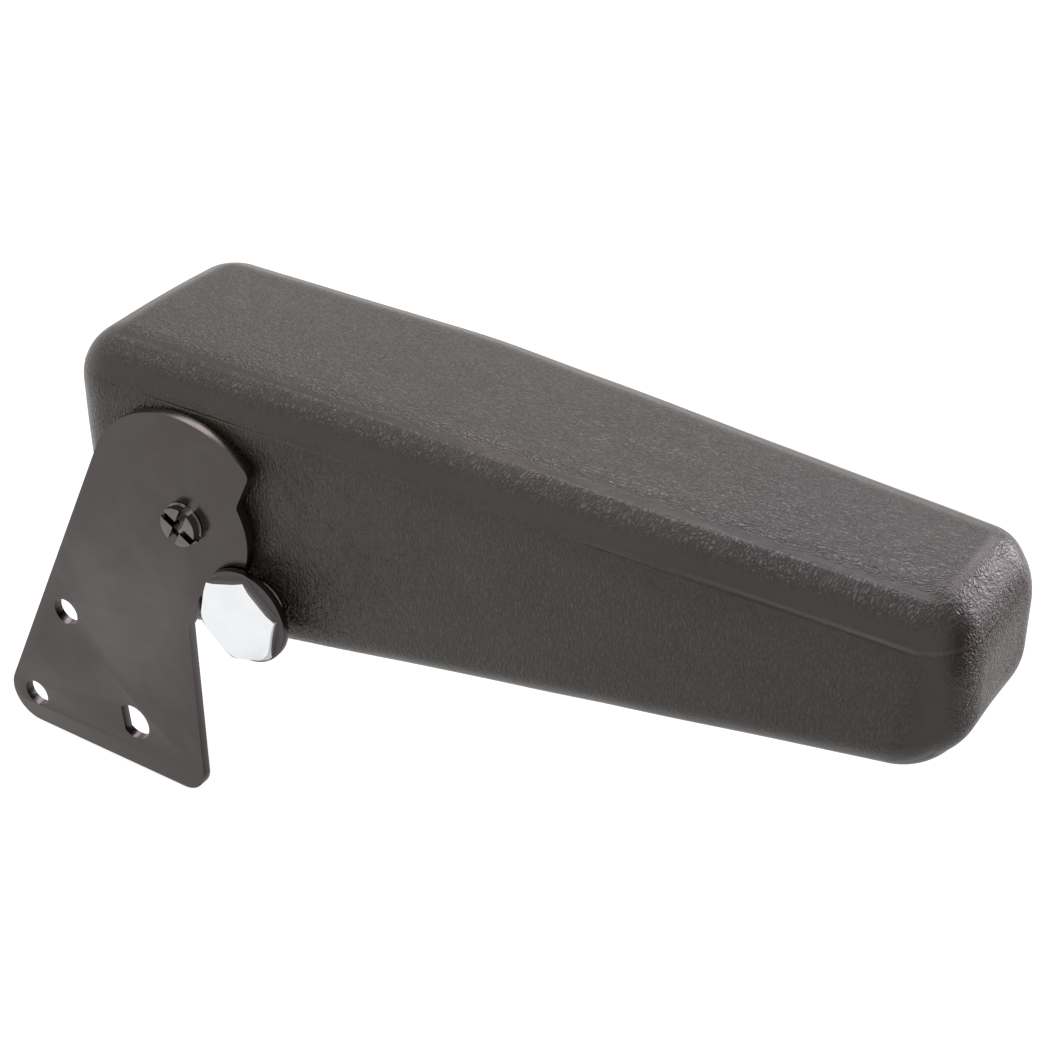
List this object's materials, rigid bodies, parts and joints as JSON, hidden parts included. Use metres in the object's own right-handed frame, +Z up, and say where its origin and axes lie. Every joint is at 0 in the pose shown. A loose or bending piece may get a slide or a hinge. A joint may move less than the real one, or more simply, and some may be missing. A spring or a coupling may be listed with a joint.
{
  "type": "flip-up chair armrest pad",
  "caption": "Moulded foam armrest pad on a pivot, with a cut steel side bracket, friction spring stack and hex-headed eccentric stop riding on the bracket's cam edge.",
  "frame": {"origin": "on the bracket's outer (seat-side) face, midway between its two round bolt holes", "axes": "+X along the pad towards its front end, +Y from the bracket into the pad along the pivot axis, +Z up"},
  "size_m": [0.3056, 0.0867, 0.1443],
  "materials": {
    "foam_skin": null,
    "black_plate": "glossy black plating on cut steel sheet",
    "dark_steel": "blackened turned steel, glossy",
    "bare_steel": "plain steel",
    "zinc": "bright zinc plated",
    "nylon": "natural nylon",
    "black_plastic": "fine grained black plastic",
    "rubber": "matt black rubber"
  },
  "bodies": {
    "bracket": {"bracket_plate": "black_plate", "pivot_pin": "dark_steel", "thrust_washer": "bare_steel", "disc_spring_inner": "bare_steel", "disc_spring_outer": "bare_steel", "nut_washer": "zinc", "tension_nut": "zinc"},
    "armrest": {"foam_pad": "foam_skin", "armature_plate": "bare_steel", "load_spreader": "bare_steel", "pivot_tube": "bare_steel", "stop_boss": "bare_steel", "bush_bracket_side": "nylon", "bush_far_side": "nylon", "wear_washer": "nylon", "access_cap": "black_plastic"},
    "stop_adjuster": {"stop_bolt": "zinc", "stop_washer": "black_plate", "stop_sleeve": "rubber", "stop_lock_nut": "zinc"}
  },
  "joints": [
    {"name": "armrest_fold", "type": "hinge", "parent": "bracket", "child": "armrest", "pos_m": [0.0603, 0, 0.0682], "axis": [0, -1, 0], "range_deg": [-22, 68]},
    {"name": "stop_turn", "type": "hinge", "parent": "armrest", "child": "stop_adjuster", "pos_m": [0.08131, 0, 0.04567], "axis": [0, -1, 0], "range_deg": [-90, 90]}
  ]
}
